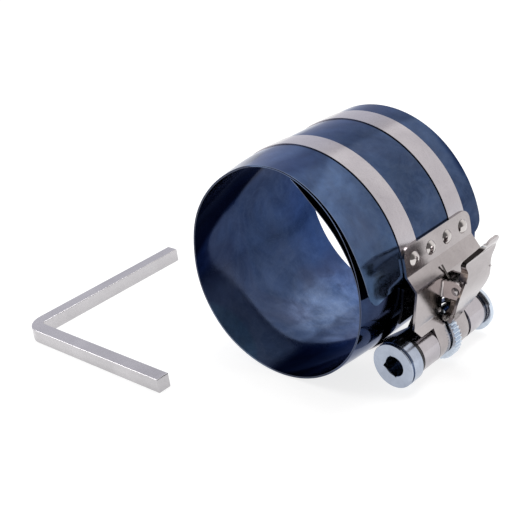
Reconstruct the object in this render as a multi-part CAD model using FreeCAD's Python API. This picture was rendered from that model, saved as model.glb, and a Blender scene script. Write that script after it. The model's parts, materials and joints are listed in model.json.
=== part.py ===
import FreeCAD, Part
import os, math
from FreeCAD import Vector as V

# Piston ring compressor: a wound spring-steel sleeve with two tension bands,
# a folded bracket carrying a ratchet spindle and a sprung pawl lever, and the
# loose square key that turns the spindle. Millimetres, +Z up. The sleeve's axis
# runs along +Y; the bracket is on the +X side; the bands and the ratchet wheel
# stand on z = 0.

# ---------------------------------------------------------------- dimensions
SLEEVE_LEN = 80.0        # along Y
SHEET_T = 0.35           # sleeve sheet
SLEEVE_R = 47.35         # outer surface of the outer wrap
BAND_T = 0.40
BAND_R = SLEEVE_R + 0.03 # inner surface of the bands
ZC = BAND_R + BAND_T     # height of the sleeve's axis
BAND_W = 10.6
BAND1_Y = 25.6           # near edge of the near band
BAND2_Y = 59.0           # near edge of the far band
PLATE_T = 1.0            # bracket stamping
FLANGE_R = 47.80 + PLATE_T / 2.0   # centreline of the riveted flange
BR_Y0, BR_Y1 = 25.4, 71.3          # bracket width
SP_X, SP_Z = 45.88, 11.25          # spindle axis
SHAFT_R = 7.80
WHEEL_R = 11.25
WHEEL_Y0, WHEEL_Y1 = 44.5, 48.7
TEETH = 38
TOOTH_H = 0.95
HEAD_R = 9.85
FACE_R, FACE_T = 9.75, 0.40        # thin face disc in front of the head
GROOVE_R, GROOVE_W = 8.75, 1.30
HEAD_Y0, HEAD_Y1 = 15.8, 23.1
FLANGE_END_R = 10.80
KNUCKLE_R = 8.35         # centreline of the knuckles round the spindle
STRAP1 = (36.35, 43.6)
STRAP2 = (49.1, 57.3)
SEAT_R = 7.00            # band seats turned in the shaft
TURN_R = 8.43            # inner surface of each band's outer turn
PIN_X, PIN_Z = 58.85, 35.70
PIN_R = 1.40
LEVER_T = 1.0
LEVER_YC = 47.5
RIVET_Y = (31.6, 42.9, 54.2, 65.5)
RIVET_A = 6.2            # degrees above +X round the sleeve's axis
KEY_W = 6.70
KEY_X, KEY_Y = -133.3, -40.0       # outer corner of the key
KEY_TURN = 0.97                    # degrees the key lies turned about +Z
KEY_LONG, KEY_SHORT = 97.7, 95.8
KEY_RO, KEY_RI = 10.5, 1.6
SOCKET_W = 7.1
SOCKET_TURN = -55.9
PILOT_R = 4.30
PILOT_DX, PILOT_DZ = 0.52, 0.17   # the pilot bore was drilled off centre

# row origin: the middle of the whole set's footprint, on the surface it rests on
OX, OY = 30.09, -20.09

OUT = "parts"
os.makedirs(OUT, exist_ok=True)
Y = V(0, 1, 0)


def save(name, shape):
    s = shape.copy()
    s.translate(V(OX, OY, 0))
    sol = s.Solids
    vol = sum(q.Volume for q in sol)
    b = s.BoundBox
    print("%-20s solids %d valid %s vol %.1f  x %.2f..%.2f y %.2f..%.2f z %.2f..%.2f" % (
        name, len(sol), s.isValid(), vol, b.XMin, b.XMax, b.YMin, b.YMax, b.ZMin, b.ZMax))
    if len(sol) == 1:
        s = sol[0]
    s.exportStep(os.path.join(OUT, name + ".step"))


def rad(d):
    return d * math.pi / 180.0


def cyl(r, y0, y1, x, z):
    return Part.makeCylinder(r, y1 - y0, V(x, y0, z), Y)


def box(x0, x1, y0, y1, z0, z1):
    return Part.makeBox(x1 - x0, y1 - y0, z1 - z0, V(x0, y0, z0))


def hermite(table, u):
    """Smooth interpolation through (u, value) pairs, with limited slopes."""
    n = len(table)
    if u <= table[0][0]:
        return table[0][1]
    if u >= table[-1][0]:
        return table[-1][1]
    k = 0
    while table[k + 1][0] < u:
        k += 1

    def sec(i):
        return (table[i + 1][1] - table[i][1]) / (table[i + 1][0] - table[i][0])

    def slope(i):
        if i == 0 or i == n - 1:
            return 0.0
        a, b = sec(i - 1), sec(i)
        if a * b <= 0:
            return 0.0
        return 2 * a * b / (a + b)
    h = table[k + 1][0] - table[k][0]
    t = (u - table[k][0]) / h
    m0, m1 = slope(k), slope(k + 1)
    return ((2 * t ** 3 - 3 * t * t + 1) * table[k][1] + (t ** 3 - 2 * t * t + t) * h * m0
            + (-2 * t ** 3 + 3 * t * t) * table[k + 1][1] + (t ** 3 - t * t) * h * m1)


# ---------------------------------------------------------------- strips
def strip_wire(segs, t):
    """Closed wire in the XZ plane (y = 0) round a path of given thickness.
    segs: ('L', p0, p1) or ('A', c, r, a0, a1) with angles in degrees."""
    def side(s):
        out = []
        for q in segs:
            if q[0] == 'L':
                (x0, z0), (x1, z1) = q[1], q[2]
                L = math.hypot(x1 - x0, z1 - z0)
                nx, nz = -(z1 - z0) / L, (x1 - x0) / L
                o = s * t / 2.0
                out.append(Part.makeLine(V(x0 + nx * o, 0, z0 + nz * o), V(x1 + nx * o, 0, z1 + nz * o)))
            else:
                (cx, cz), r, a0, a1 = q[1], q[2], q[3], q[4]
                # left of a counter-clockwise arc is towards its centre
                rr = r - s * t / 2.0 if a1 > a0 else r + s * t / 2.0
                am = 0.5 * (a0 + a1)
                P = [V(cx + rr * math.cos(rad(a)), 0, cz + rr * math.sin(rad(a))) for a in (a0, am, a1)]
                out.append(Part.Arc(*P).toShape())
        return out
    left, right = side(+1), side(-1)

    def ends(q):
        c = q.Curve
        return q.valueAt(q.FirstParameter), q.valueAt(q.LastParameter)
    edges = list(left)
    a = left[-1].valueAt(left[-1].LastParameter)
    b = right[-1].valueAt(right[-1].LastParameter)
    edges.append(Part.makeLine(a, b))
    edges += list(reversed(right))
    a = right[0].valueAt(right[0].FirstParameter)
    b = left[0].valueAt(left[0].FirstParameter)
    edges.append(Part.makeLine(a, b))
    return Part.Wire(Part.__sortEdges__(edges))


def strip(segs, t, y0, y1):
    f = Part.Face(strip_wire(segs, t))
    f.translate(V(0, y0, 0))
    return f.extrude(V(0, y1 - y0, 0))


def fillet_path(pts, radii):
    """Line and arc segments through a polyline with rounded corners."""
    segs = []
    cur = pts[0]
    for i in range(1, len(pts) - 1):
        p, r = pts[i], radii[i - 1]
        a, b = pts[i - 1], pts[i + 1]
        ax, az = a[0] - p[0], a[1] - p[1]
        bx, bz = b[0] - p[0], b[1] - p[1]
        la, lb = math.hypot(ax, az), math.hypot(bx, bz)
        ax, az, bx, bz = ax / la, az / la, bx / lb, bz / lb
        ang = math.acos(max(-1, min(1, ax * bx + az * bz)))
        d = r / math.tan(ang / 2.0)
        t0 = (p[0] + ax * d, p[1] + az * d)
        t1 = (p[0] + bx * d, p[1] + bz * d)
        mx, mz = ax + bx, az + bz
        lm = math.hypot(mx, mz)
        c = (p[0] + mx / lm * r / math.sin(ang / 2.0), p[1] + mz / lm * r / math.sin(ang / 2.0))
        a0 = math.degrees(math.atan2(t0[1] - c[1], t0[0] - c[0]))
        a1 = math.degrees(math.atan2(t1[1] - c[1], t1[0] - c[0]))
        while a1 - a0 > 180:
            a1 -= 360
        while a1 - a0 < -180:
            a1 += 360
        if math.hypot(t0[0] - cur[0], t0[1] - cur[1]) > 1e-4:
            segs.append(('L', cur, t0))
        segs.append(('A', c, r, a0, a1))
        cur = t1
    segs.append(('L', cur, pts[-1]))
    return segs


# ---------------------------------------------------------------- sleeve
# radius of the sheet's middle surface against the angle u round the axis, from
# the outer end over the top, left and bottom, on in under itself for a second
# turn, and up to the straight free end of a third layer on the right
U0, U1 = -3.0, 789.0
BODY = [(-3, 47.175), (60, 47.175), (300, 47.175), (312, 46.95), (322, 46.42), (335, 46.08), (350, 45.70),
        (366, 45.50), (385, 45.75), (405, 46.25), (430, 46.6), (455, 46.62), (660, 46.62), (672, 46.38), (682, 45.92),
        (695, 45.58), (710, 45.22), (726, 45.0), (745, 44.85), (760, 44.75), (769, 44.85), (776, 45.2), (783, 45.72), (789, 46.12)]
# free near rim: slightly oval, opened at the overlap
NEAR = [(-3, 50.9), (3, 50.3), (8, 49.7), (12, 49.45), (16, 49.3), (20, 49.05), (24, 48.95), (28, 49.1), (34, 49.3),
        (41, 49.55), (47, 49.8), (54, 50.0), (69, 50.0), (84, 48.8), (100, 46.7),
        (115, 44.7), (138, 43.75), (152, 44.0), (163, 44.25), (171, 44.45), (179, 44.8), (188, 45.9), (210, 47.8),
        (228, 48.6), (249, 47.8), (268, 46.9), (288, 46.15), (306, 45.8), (322, 45.85), (332, 45.9),
        (344, 45.8), (354, 45.6), (367, 45.9), (376, 46.2), (384, 46.5), (391, 47.1), (398, 47.65), (404, 48.15),
        (411, 48.62), (419, 48.95), (429, 49.3), (436, 49.0), (444, 48.34), (460, 46.25), (475, 44.25), (498, 43.31),
        (512, 43.56), (523, 43.81), (531, 44.01), (539, 44.36), (548, 45.45), (570, 47.35), (588, 48.15), (609, 47.35),
        (628, 46.46), (648, 45.71), (666, 45.36), (682, 45.4), (692, 45.42), (704, 45.3), (714, 45.12), (727, 45.25),
        (736, 45.05), (744, 44.75), (752, 44.6), (762, 44.6), (770, 44.85), (776, 45.45), (782, 46.7), (786, 47.7), (789, 48.45)]
FAR = [(-3, 47.6), (8, 47.35), (20, 47.0), (36, 46.8), (60, 47.0), (90, 47.1), (120, 47.175), (300, 47.175),
       (312, 46.9), (322, 46.4), (335, 45.8), (350, 44.95), (366, 44.75), (385, 45.1), (405, 45.7), (430, 46.2), (455, 46.5),
       (480, 46.62), (660, 46.62), (672, 46.36), (682, 45.92), (695, 45.3), (710, 44.5), (726, 44.3), (745, 44.4),
       (760, 44.55), (776, 45.0), (789, 45.7)]
CORNER_R = 6.5           # rounded corners of the sheet's outer end


def sleeve_r(u, y):
    rb = hermite(BODY, u)
    if y < 24.0:
        w = (1.0 - y / 24.0) ** 1.55
        return rb + w * (hermite(NEAR, u) - rb)
    if y > 70.0:
        w = ((y - 70.0) / 10.0) ** 1.5
        return rb + w * (hermite(FAR, u) - rb)
    return rb


def sleeve_pt(u, y, off):
    # offset along the in-plane normal of the section at this y
    e = 0.25
    r = sleeve_r(u, y)
    dr = (sleeve_r(min(U1, u + e), y) - sleeve_r(max(U0, u - e), y)) / (rad(min(U1, u + e) - max(U0, u - e)))
    a = rad(u)
    tx, tz = dr * math.cos(a) - r * math.sin(a), dr * math.sin(a) + r * math.cos(a)
    L = math.hypot(tx, tz)
    nx, nz = tz / L, -tx / L
    return V(r * math.cos(a) + nx * off, y, ZC + r * math.sin(a) + nz * off)


def through(points, params):
    """Cubic spline through the points at the given parameters."""
    c = Part.BSplineCurve()
    c.interpolate(Points=points, Parameters=params)
    return c


def grid_surface(grid, us, ys):
    """Smooth surface through a grid of points, row by row and then across."""
    rows = [through(g, ys) for g in grid]
    cols = []
    for iv in range(rows[0].NbPoles):
        cols.append(through([r.getPole(iv + 1) for r in rows], us))
    b = Part.BSplineSurface()
    poles = [[c.getPole(iu + 1) for c in cols] for iu in range(cols[0].NbPoles)]
    b.buildFromPolesMultsKnots(poles, cols[0].getMultiplicities(), rows[0].getMultiplicities(),
                               cols[0].getKnots(), rows[0].getKnots(), False, False, 3, 3)
    return b


def make_sleeve():
    ys = [0.0, 2.5, 5.0, 8.0, 11.5, 15.0, 18.5, 21.5, 23.2, 24.0, 24.8, 26.5, 30.0, 38.0, 47.0, 56.0, 64.0, 67.5, 69.2, 70.0,
          70.8, 72.5, 75.0, 77.5, SLEEVE_LEN]
    # columns close up towards both ends of the sheet
    us = [U0 + d for d in (0, 0.5, 1.2, 2.2, 3.6, 5.4, 7.6, 10.2, 13.2)]
    ue = [U1 - d for d in (13.2, 10.2, 7.6, 5.4, 3.6, 2.2, 1.2, 0.5, 0)]
    n = 186
    us += [us[-1] + (ue[0] - us[-1]) * k / float(n) for k in range(1, n)] + ue
    surf = []
    for off in (SHEET_T / 2.0, -SHEET_T / 2.0):
        grid = [[sleeve_pt(u, y, off) for y in ys] for u in us]
        surf.append(grid_surface(grid, us, ys).toShape())
    fo, fi = surf
    faces = [fo, fi]
    for e in fo.Edges:
        m = e.valueAt(0.5 * (e.FirstParameter + e.LastParameter))
        g = min(fi.Edges, key=lambda q: (q.valueAt(0.5 * (q.FirstParameter + q.LastParameter)) - m).Length)
        if min(abs(m.y), abs(m.y - SLEEVE_LEN)) < 1e-6:
            # rims: flat faces between the sheet's two sides
            e0, e1 = e.valueAt(e.FirstParameter), e.valueAt(e.LastParameter)
            g0, g1 = g.valueAt(g.FirstParameter), g.valueAt(g.LastParameter)
            if (e0 - g0).Length > (e0 - g1).Length:
                g0, g1 = g1, g0
            w = Part.Wire(Part.__sortEdges__([e, Part.makeLine(e1, g1), g, Part.makeLine(g0, e0)]))
            faces.append(Part.Face(w))
        else:
            faces.append(Part.makeRuledSurface(e, g))
    sh = Part.makeShell(faces)
    sh.sewShape()
    sol = Part.makeSolid(Part.Shell(sh.Faces))
    if sol.Volume < 0:
        sol.reverse()
    # rounded corners at the sheet's outer end
    uc = U0 + math.degrees(0.5 * CORNER_R / SLEEVE_R)
    d = V(math.cos(rad(uc)), 0, math.sin(rad(uc)))
    t = V(-math.sin(rad(uc)), 0, math.cos(rad(uc)))
    h = 0.5 * CORNER_R
    for (yr, s) in ((0.0, 1), (SLEEVE_LEN, -1)):
        # the arc runs out just past both edges of the sheet
        yc = yr + s * (CORNER_R - 0.05)
        tc = h - 0.35
        def P(tt, yy):
            return V(0, yy, ZC) + d * 46.45 + t * tt
        blk = Part.Face(Part.makePolygon([P(-h - 1.5, yr - s * 1.0), P(tc, yr - s * 1.0), P(tc, yc), P(-h - 1.5, yc), P(-h - 1.5, yr - s * 1.0)])).extrude(d * 7.0)
        rnd = Part.makeCylinder(CORNER_R, 9.0, V(0, yc, ZC) + d * 45.5 + t * tc, d)
        sol = sol.cut(blk.cut(rnd))
    return sol


sleeve = make_sleeve()
# rivet holes through the outer wrap only
ra = rad(RIVET_A)
for y in RIVET_Y:
    hole = Part.makeCylinder(1.65, 1.6, V((SLEEVE_R - 1.05) * math.cos(ra), y, ZC + (SLEEVE_R - 1.05) * math.sin(ra)),
                             V(math.cos(ra), 0, math.sin(ra)))
    hole_in = hole
    sleeve = sleeve.cut(hole_in)
save("sleeve", sleeve)


# ---------------------------------------------------------------- bands
R_SL = BAND_R + BAND_T / 2.0                 # centreline on the sleeve
R_TU = TURN_R + BAND_T / 2.0                 # centreline of the outer turn
DX, DZ = SP_X, SP_Z - ZC
DIST = math.hypot(DX, DZ)
PHI = math.degrees(math.atan2(DZ, DX))
TAN = PHI + math.degrees(math.asin((R_SL + R_TU) / DIST))   # slope of the run to the spindle
A_LEAVE = -90.0 + TAN                                      # where the band leaves the sleeve
A_TOP = 90.0 + TAN                                         # where it meets the spindle
A_END = A_TOP - 318.0                                      # end of its outer turn


def on(c, r, a):
    return (c[0] + r * math.cos(rad(a)), c[1] + r * math.sin(rad(a)))


C_SL, C_SP = (0.0, ZC), (SP_X, SP_Z)
band_path = [('A', C_SL, R_SL, 1.5, 120.0), ('A', C_SL, R_SL, 120.0, 240.0), ('A', C_SL, R_SL, 240.0, 360.0 + A_LEAVE),
             ('L', on(C_SL, R_SL, A_LEAVE), on(C_SP, R_TU, A_TOP)),
             ('A', C_SP, R_TU, A_TOP, A_TOP - 160.0), ('A', C_SP, R_TU, A_TOP - 160.0, A_END)]
print("band run slope %.2f, leaves at %.2f, length %.1f" % (
    TAN, A_LEAVE, rad(358.5 + A_LEAVE) * R_SL + math.sqrt(DIST ** 2 - (R_SL + R_TU) ** 2) + rad(318) * R_TU))
band1 = strip(band_path, BAND_T, BAND1_Y, BAND1_Y + BAND_W)
band2 = strip(band_path, BAND_T, BAND2_Y, BAND2_Y + BAND_W)


def rivet_tool(y, r, r0, r1):
    return Part.makeCylinder(r, r1 - r0, V(r0 * math.cos(ra), y, ZC + r0 * math.sin(ra)), V(math.cos(ra), 0, math.sin(ra)))


band1 = band1.cut(rivet_tool(RIVET_Y[0], 1.65, 46.0, 49.5))
band2 = band2.cut(rivet_tool(RIVET_Y[3], 1.65, 46.0, 49.5))
save("near_band", band1)
save("far_band", band2)


def spiral_coil(y0, y1, r_in, a0, pitch, half_turns):
    """Wound strip: half circles about two centres a half pitch apart."""
    segs = []
    c = (SP_X, SP_Z)
    r = r_in + BAND_T / 2.0
    a = a0
    for k in range(half_turns):
        segs.append(('A', c, r, a, a + 90.0))
        segs.append(('A', c, r, a + 90.0, a + 180.0))
        a += 180.0
        # next half turn: radius grows by half a pitch, tangent at the joint
        rn = r + pitch / 2.0
        c = (c[0] + (r - rn) * math.cos(rad(a)), c[1] + (r - rn) * math.sin(rad(a)))
        r = rn
    return strip(segs, BAND_T, y0, y1)


# the wound turns under each band's outer turn
COIL_PITCH = BAND_T + 0.03
save("near_coil", spiral_coil(BAND1_Y, BAND1_Y + BAND_W, SEAT_R + 0.12, 40.0, COIL_PITCH, 4))
save("far_coil", spiral_coil(BAND2_Y, BAND2_Y + BAND_W, SEAT_R + 0.12, 40.0, COIL_PITCH, 4))

# ---------------------------------------------------------------- bracket
# centreline of the folded sheet, from the flange's upper edge down
f_end = 1.6
P0 = on(C_SL, FLANGE_R, f_end)
dirx, dirz = math.sin(rad(f_end)), -math.cos(rad(f_end))
Vb1 = (P0[0] + dirx * 1.6, P0[1] + dirz * 1.6)
Vb2 = (52.85, 41.55)
Vb3 = (50.05, 23.9)
# tangent from Vb3 to the knuckle, on its right
dx, dz = SP_X - Vb3[0], SP_Z - Vb3[1]
dd = math.hypot(dx, dz)
beta = math.degrees(math.atan2(dz, dx)) + math.degrees(math.asin(KNUCKLE_R / dd))
LT = math.sqrt(dd * dd - KNUCKLE_R ** 2)
T1 = (Vb3[0] + LT * math.cos(rad(beta)), Vb3[1] + LT * math.sin(rad(beta)))
aT1 = math.degrees(math.atan2(T1[1] - SP_Z, T1[0] - SP_X))
# back plate and its tangent to the knuckle, on its left
Bb1 = (42.75, 24.3)
Bb2 = (45.20, 32.8)
Bb3 = (46.45, 41.8)
dx, dz = SP_X - Bb1[0], SP_Z - Bb1[1]
dd = math.hypot(dx, dz)
beta2 = math.degrees(math.atan2(dz, dx)) - math.degrees(math.asin(KNUCKLE_R / dd))
LB = math.sqrt(dd * dd - KNUCKLE_R ** 2)
T2 = (Bb1[0] + LB * math.cos(rad(beta2)), Bb1[1] + LB * math.sin(rad(beta2)))
aT2 = math.degrees(math.atan2(T2[1] - SP_Z, T2[0] - SP_X))
while aT2 > aT1:
    aT2 -= 360.0

front = [('A', C_SL, FLANGE_R, 13.2, f_end)] + fillet_path([P0, Vb1, Vb2, Vb3, T1], [1.8, 1.7, 1.4])
knuckle = [('A', C_SP, KNUCKLE_R, aT1, 0.5 * (aT1 + aT2)), ('A', C_SP, KNUCKLE_R, 0.5 * (aT1 + aT2), aT2)]
back = fillet_path([T2, Bb1, Bb2, Bb3], [4.0, 18.0])
full = strip(front + knuckle + back, PLATE_T, BR_Y0, BR_Y1)

# cut-outs: below the front plate and behind it over each band's coil, the
# wheel's slot all round, and the pawl's window
LIP_Z = 20.3
cuts = []
cuts.append(box(30, 70, BR_Y0 - 1, STRAP1[0], -2, LIP_Z))
cuts.append(box(30, 70, STRAP2[1], BR_Y1 + 1, -2, LIP_Z))
cuts.append(box(30, 48.0, BR_Y0 - 1, STRAP1[0], -2, 25.2))
cuts.append(box(30, 48.0, STRAP2[1], BR_Y1 + 1, -2, 25.2))
cuts.append(box(30, 70, STRAP1[1], STRAP2[0], -2, 24.3))
WIN_Y0, WIN_Y1, WIN_Z1 = 43.9, 51.1, 36.9
cuts.append(box(49.0, 56, WIN_Y0, WIN_Y1, 20, WIN_Z1))
bracket = full
for c in cuts:
    bracket = bracket.cut(c)
# chamfered near and far lower corners of the front plate
for (y0, s) in ((BR_Y0, 1), (BR_Y1, -1)):
    tri = Part.Face(Part.makePolygon([V(48.5, y0 - s * 0.5, 23.9 + 0.7), V(48.5, y0 - s * 0.5, 19.0), V(48.5, y0 + s * 3.6, 19.0),
                                      V(48.5, y0 - s * 0.5, 23.9 + 0.7)])).extrude(V(6, 0, 0))
    bracket = bracket.cut(tri)
# rounded upper corners of the flange: cut in the flange's tangent plane
FC = 4.2
top = rad(13.2)
for (y0, s) in ((BR_Y0, 1), (BR_Y1, -1)):
    # corner block minus a quarter-round, built along Z
    zt = ZC + (FLANGE_R) * math.sin(top)
    blk = box(44, 50.2, min(y0 - s * 1, y0 + s * FC), max(y0 - s * 1, y0 + s * FC), zt - FC, zt + 3)
    rnd = Part.makeCylinder(FC, 10, V(43, y0 + s * FC, zt - FC), V(1, 0, 0))
    bracket = bracket.cut(blk.cut(rnd))
# ears bent out of the window, carrying the pivot pin
EAR1 = (42.9, 43.9)
EAR2 = (51.1, 52.1)
EAR_R = 3.85


def ear(y0, y1):
    cx, cz = PIN_X - 0.15, PIN_Z + 0.05
    b = box(51.9, cx, y0, y1, cz - EAR_R, cz + EAR_R)
    e = b.fuse(cyl(EAR_R, y0, y1, cx, cz))
    # trimmed to the plate's outer surface
    return e


plate_in = Part.Face(Part.makePolygon([V(45, 40, 24), V(Vb3[0] - 0.1, 40, 24), V(Vb2[0] - 0.1, 40, 41.0), V(45, 40, 45), V(45, 40, 24)])).extrude(V(0, 14, 0))
for e in (EAR1, EAR2):
    bracket = bracket.fuse(ear(*e).cut(plate_in))
# concave folds where the ears leave the plate, along the plate's slope
FOLD_R = 0.9
pdx, pdz = Vb2[0] - Vb3[0], Vb2[1] - Vb3[1]
pl = math.hypot(pdx, pdz)
pdx, pdz = pdx / pl, pdz / pl
for (ye, s) in ((EAR1[0], -1), (EAR2[1], 1)):
    # on the plate's outer surface, level with the ear's lower edge
    q = (PIN_Z + 0.05 - EAR_R + 0.25 - Vb3[1]) / pdz
    p0 = V(Vb3[0] + pdx * q + pdz * (PLATE_T / 2.0 - 0.02), ye, Vb3[1] + pdz * q - pdx * (PLATE_T / 2.0 - 0.02))
    n = V(pdz, 0, -pdx)
    al = V(pdx, 0, pdz)
    yy = V(0, s, 0)
    sqr = Part.Face(Part.makePolygon([p0 - yy * 0.05, p0 + n * FOLD_R - yy * 0.05, p0 + n * FOLD_R + yy * FOLD_R,
                                      p0 + yy * FOLD_R, p0 - yy * 0.05]))
    L = 2 * EAR_R - 0.5
    rod_c = Part.makeCylinder(FOLD_R, L + 2, p0 + n * (FOLD_R + 0.02) + yy * FOLD_R - al, al)
    bracket = bracket.fuse(sqr.extrude(al * L).cut(rod_c))
bracket = bracket.cut(cyl(PIN_R + 0.02, 40, 56, PIN_X, PIN_Z))
for y in RIVET_Y:
    bracket = bracket.cut(rivet_tool(y, 1.65, 46.0, 49.5))
bracket = bracket.removeSplitter()
save("clamp_bracket", bracket)

# ---------------------------------------------------------------- rivets
R_HEAD0 = FLANGE_R + PLATE_T / 2.0


def rivet(y, through_band):
    # shank, dome head outside, thin head inside the outer wrap
    r_in = SLEEVE_R - SHEET_T
    shank = rivet_tool(y, 1.60, r_in - 0.40, R_HEAD0 + 0.1)
    inner = rivet_tool(y, 2.35, r_in - 0.62, r_in - 0.09)
    hr, hh = 3.0, 1.45
    R = (hr * hr + hh * hh) / (2 * hh)
    d = V(math.cos(ra), 0, math.sin(ra))
    base = V(0, y, ZC) + d * (R_HEAD0 + 0.03)
    sph = Part.makeSphere(R, base + d * (hh - R))
    cap = sph.common(Part.makeCylinder(hr + 0.5, hh + 1, base, d))
    # flange is curved, so the head's underside starts a hair above it at the shank
    return shank.fuse([inner, cap]).removeSplitter()


for nm, y, tb in (("near_band_rivet", RIVET_Y[0], True), ("near_sleeve_rivet", RIVET_Y[1], False),
                  ("far_sleeve_rivet", RIVET_Y[2], False), ("far_band_rivet", RIVET_Y[3], True)):
    save(nm, rivet(y, tb))

# ---------------------------------------------------------------- spindle
SH_Y1 = 71.6
gy = HEAD_Y0 + FACE_T
head = cyl(FACE_R, HEAD_Y0 + 0.12, gy, SP_X, SP_Z).fuse([
    Part.makeCone(FACE_R - 0.12, FACE_R, 0.12, V(SP_X, HEAD_Y0, SP_Z), Y),
    cyl(GROOVE_R, gy - 0.1, gy + GROOVE_W + 0.1, SP_X, SP_Z),
    Part.makeCone(HEAD_R - 0.2, HEAD_R, 0.2, V(SP_X, gy + GROOVE_W, SP_Z), Y),
    cyl(HEAD_R, gy + GROOVE_W + 0.2, HEAD_Y1 - 0.25, SP_X, SP_Z),
    Part.makeCone(HEAD_R, HEAD_R - 0.25, 0.25, V(SP_X, HEAD_Y1 - 0.25, SP_Z), Y)])
shaft = cyl(SHAFT_R, HEAD_Y1 - 0.5, SH_Y1, SP_X, SP_Z)
for y0 in (BAND1_Y, BAND2_Y):
    shaft = shaft.cut(cyl(SHAFT_R + 1, y0 - 0.3, y0 + BAND_W + 0.3, SP_X, SP_Z).cut(cyl(SEAT_R, y0 - 0.3, y0 + BAND_W + 0.3, SP_X, SP_Z)))
END_R = 5.0
spig = cyl(END_R, SH_Y1 - 0.2, 76.4, SP_X, SP_Z)
spindle = head.fuse([shaft, spig])
# square socket broached through a pilot bore
sq = box(-SOCKET_W / 2, SOCKET_W / 2, 0, 16.0, -SOCKET_W / 2, SOCKET_W / 2)
sq.translate(V(0, 0, 0))
sq.rotate(V(0, 0, 0), Y, SOCKET_TURN)
sq.translate(V(SP_X, HEAD_Y0 - 0.01, SP_Z))
pilot = Part.makeCylinder(PILOT_R, 16.6, V(SP_X + PILOT_DX, HEAD_Y0 - 0.01, SP_Z + PILOT_DZ), Y)
mouth = Part.makeCone(PILOT_R + 0.25, PILOT_R, 0.25, V(SP_X + PILOT_DX, HEAD_Y0 - 0.01, SP_Z + PILOT_DZ), Y)
spindle = spindle.cut(sq.fuse([pilot, mouth]))
# cross holes: wheel pin and the two hook pins
WPIN_R = 1.25
wy = 0.5 * (WHEEL_Y0 + WHEEL_Y1)
spindle = spindle.cut(Part.makeCylinder(WPIN_R, 24, V(SP_X, wy, SP_Z - 12), V(0, 0, 1)))
HOOK_A = 40.0
hd = V(math.cos(rad(HOOK_A)), 0, math.sin(rad(HOOK_A)))
for y0 in (BAND1_Y, BAND2_Y):
    spindle = spindle.cut(Part.makeCylinder(1.0, 5.0, V(SP_X, y0 + BAND_W / 2, SP_Z) + hd * (SEAT_R - 2.0), hd))
spindle = spindle.removeSplitter()
save("spindle", spindle)
for nm, y0 in (("near_hook_pin", BAND1_Y), ("far_hook_pin", BAND2_Y)):
    save(nm, Part.makeCylinder(0.99, 2.0, V(SP_X, y0 + BAND_W / 2, SP_Z) + hd * (SEAT_R - 1.95), hd))

# ratchet wheel: saw teeth that lock against unwinding
pts = []
for k in range(TEETH):
    a = 360.0 / TEETH * k
    for (fa, r) in ((0.0, WHEEL_R), (0.16, WHEEL_R - 0.02), (0.34, WHEEL_R - TOOTH_H), (0.42, WHEEL_R - TOOTH_H)):
        aa = rad(a + fa * 360.0 / TEETH)
        pts.append(V(SP_X + r * math.cos(aa), WHEEL_Y0, SP_Z + r * math.sin(aa)))
pts.append(pts[0])
wheel = Part.Face(Part.makePolygon(pts)).extrude(V(0, WHEEL_Y1 - WHEEL_Y0, 0))
ch = 0.35
lim = Part.makeCone(WHEEL_R - ch, WHEEL_R + 0.02, ch, V(SP_X, WHEEL_Y0, SP_Z), Y).fuse(
    [cyl(WHEEL_R + 0.02, WHEEL_Y0 + ch, WHEEL_Y1 - ch, SP_X, SP_Z),
     Part.makeCone(WHEEL_R + 0.02, WHEEL_R - ch, ch, V(SP_X, WHEEL_Y1 - ch, SP_Z), Y)])
wheel = wheel.common(lim)
wheel = wheel.cut(cyl(SHAFT_R + 0.01, WHEEL_Y0 - 1, WHEEL_Y1 + 1, SP_X, SP_Z))
wheel = wheel.cut(Part.makeCylinder(WPIN_R, 24, V(SP_X, wy, SP_Z - 12), V(0, 0, 1)))
save("ratchet_wheel", wheel)
save("wheel_pin", Part.makeCylinder(WPIN_R - 0.01, 2 * (WHEEL_R - TOOTH_H - 0.3), V(SP_X, wy, SP_Z - (WHEEL_R - TOOTH_H - 0.3)), V(0, 0, 1)))


def washer(r_out, r_in, y0, y1):
    return cyl(r_out, y0, y1, SP_X, SP_Z).cut(cyl(r_in, y0 - 1, y1 + 1, SP_X, SP_Z))


def ridged_ring(r_out, y0, y1, n):
    """Ring with n low ridges round its rim."""
    w = washer(r_out, SHAFT_R + 0.03, y0, y1)
    p = (y1 - y0) / n
    for k in range(1, n):
        yc = y0 + k * p
        w = w.cut(cyl(r_out + 1, yc - 0.07, yc + 0.07, SP_X, SP_Z).cut(cyl(r_out - 0.22, yc - 0.1, yc + 0.1, SP_X, SP_Z)))
    return w


save("near_thrust_washer", ridged_ring(8.85, 23.2, 25.2, 4))
save("far_thrust_washer", ridged_ring(8.45, 70.0, 70.95, 2))
fl = Part.makeCone(FLANGE_END_R - 0.35, FLANGE_END_R, 0.35, V(SP_X, 71.65, SP_Z), Y).fuse(
    [cyl(FLANGE_END_R, 72.0, 73.5, SP_X, SP_Z), Part.makeCone(FLANGE_END_R, FLANGE_END_R - 0.4, 0.4, V(SP_X, 73.5, SP_Z), Y)])
fl = fl.cut(cyl(END_R + 0.01, 70, 75, SP_X, SP_Z)).removeSplitter()
save("end_flange", fl)
# round collar nut peened on the spigot
nut = cyl(7.2, 73.95, 76.4, SP_X, SP_Z).cut(cyl(END_R + 0.01, 73, 78, SP_X, SP_Z))
for k in range(2):
    f = box(6.2, 9, 73.0, 78, -9, 9)
    f.rotate(V(0, 0, 0), Y, 25 + 180 * k)
    f.translate(V(SP_X, 0, SP_Z))
    nut = nut.cut(f)
save("end_nut", nut)

# ---------------------------------------------------------------- pawl lever
T_O = LEVER_T / 2.0
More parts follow.
